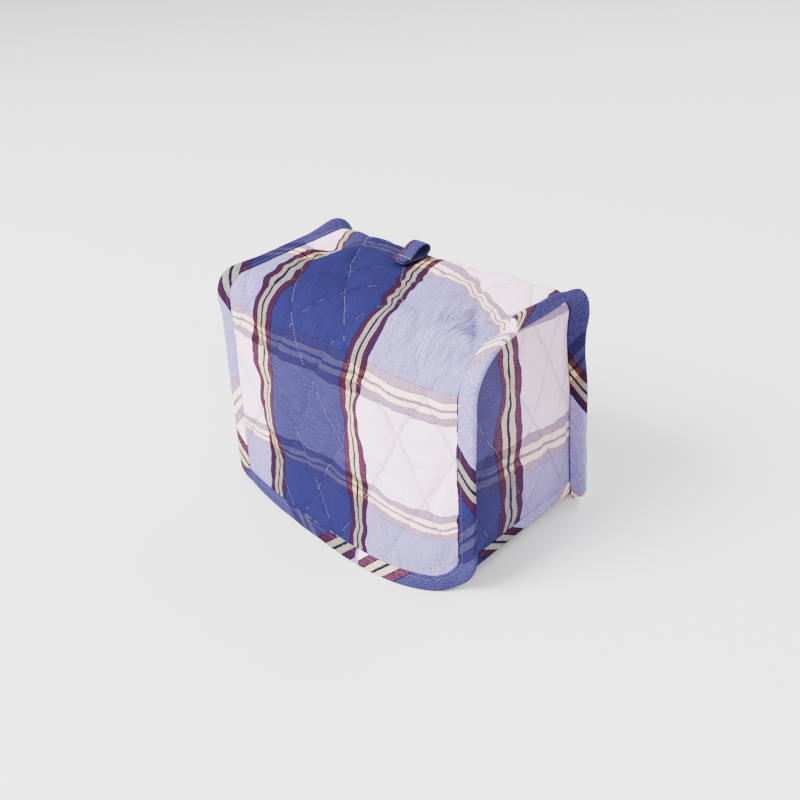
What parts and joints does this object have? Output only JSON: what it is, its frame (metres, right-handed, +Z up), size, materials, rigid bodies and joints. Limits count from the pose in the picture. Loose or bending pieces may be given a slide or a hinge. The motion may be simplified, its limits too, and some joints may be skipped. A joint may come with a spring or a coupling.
{
  "type": "quilted toaster cover",
  "caption": "Quilted fabric cover in a woven check that slips over a toaster, with bound seams, an open bottom and a hanging loop on top.",
  "frame": {"origin": "bottom centre of the bounding box, on the surface that the hem stands on", "axes": "+X along the long side towards the right end as seen from the front, +Y from the front to the back, +Z up"},
  "size_m": [0.3208, 0.2322, 0.2533],
  "materials": {
    "check_cloth": "soft matt woven cotton, quilted",
    "bias_binding": "matt cotton cut on the bias",
    "loop_strip": "matt cotton strip"
  },
  "bodies": {
    "root": {"main_panel": "check_cloth", "end_panel_right": "check_cloth", "end_panel_left": "check_cloth", "edge_binding": "bias_binding", "end_hem_right": "bias_binding", "end_hem_left": "bias_binding", "hanging_loop": "loop_strip"}
  },
  "joints": []
}
